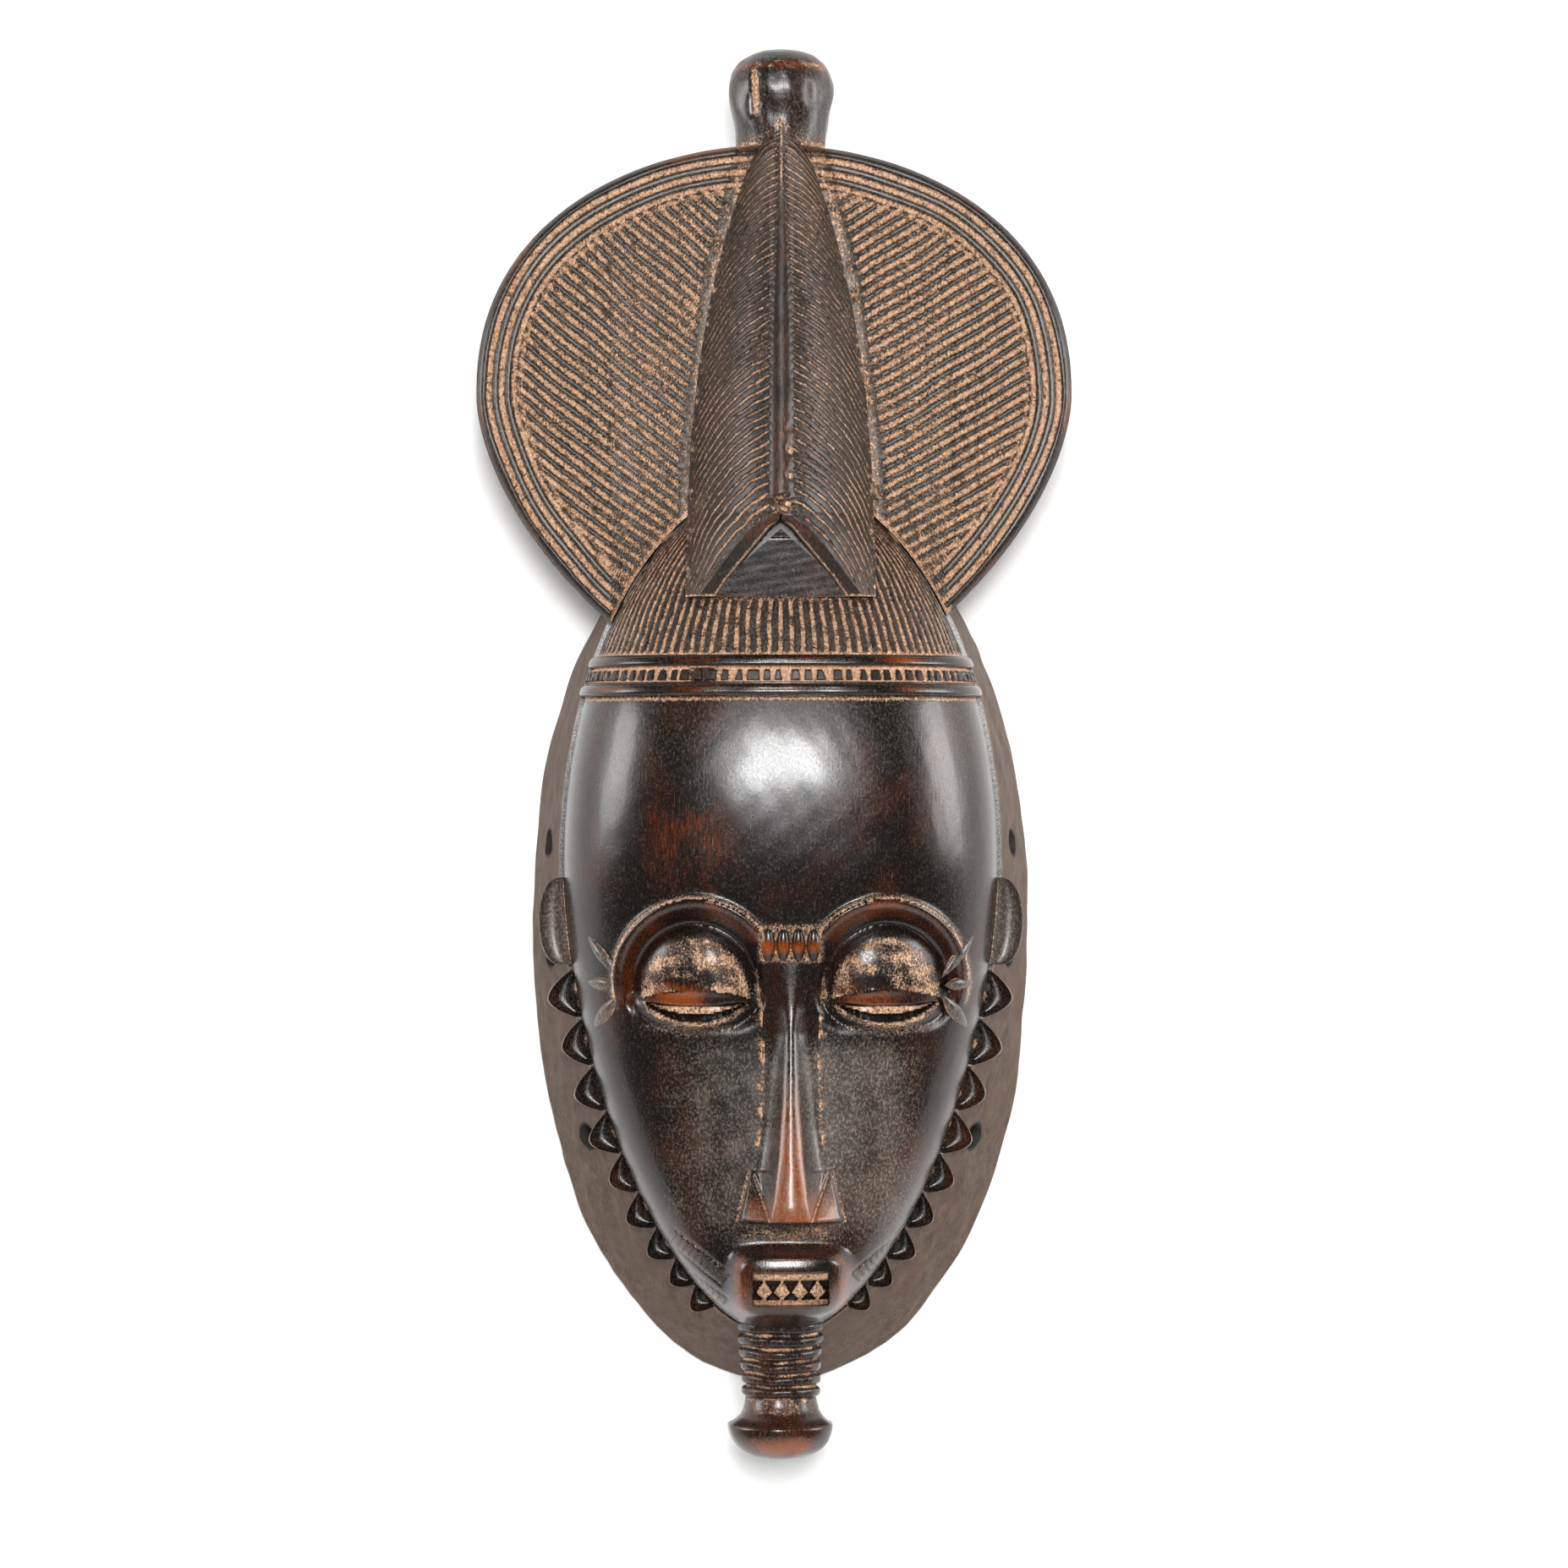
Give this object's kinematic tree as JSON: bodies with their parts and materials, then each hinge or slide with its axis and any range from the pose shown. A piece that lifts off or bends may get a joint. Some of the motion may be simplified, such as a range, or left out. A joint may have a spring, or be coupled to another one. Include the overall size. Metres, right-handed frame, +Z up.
{
  "type": "carved wooden mask",
  "caption": "Hollow carved wooden face mask on a flared back rim, with a disc of hair, a roof-shaped crest, a top knob and a ringed beard.",
  "frame": {"origin": "middle of the rim's width, on the plane of the rim's flat back edge, 134 mm above the rim's lowest point", "axes": "+Z up along the mask, -Y the way the face looks, +Y out of the flat back, +X to the viewer's right"},
  "size_m": [0.178, 0.0868, 0.42],
  "materials": {
    "rim_wood": "matt, dusty, bare of polish",
    "dark_wood": "dark stain, rubbed to a low gloss",
    "face_wood": "near-black stain, glossy, rubbed through to red-brown",
    "hair_wood": "dark stain with pale clay in the grooves",
    "crest_wood": "dark stain with pale clay in the grooves and a polished red-brown ridge",
    "mark_wood": "red-brown, polished by handling",
    "peg_wood": "bare wood"
  },
  "bodies": {
    "root": {"rim_wall": "rim_wood", "tooth_collar": "dark_wood", "face_shell": "face_wood", "left_ear": "dark_wood", "right_ear": "dark_wood", "hair_cap": "hair_wood", "lower_fillet": "face_wood", "notched_row": "hair_wood", "upper_fillet": "face_wood", "hair_disc": "hair_wood", "crest": "crest_wood", "gable_panel": "dark_wood", "top_knob": "dark_wood", "brow_marks": "mark_wood", "left_temple_marks": "mark_wood", "right_temple_marks": "mark_wood", "beard_stem": "dark_wood", "beard_tip": "face_wood", "rim_pegs": "peg_wood", "disc_pegs": "peg_wood", "crest_pegs": "peg_wood"}
  },
  "joints": []
}
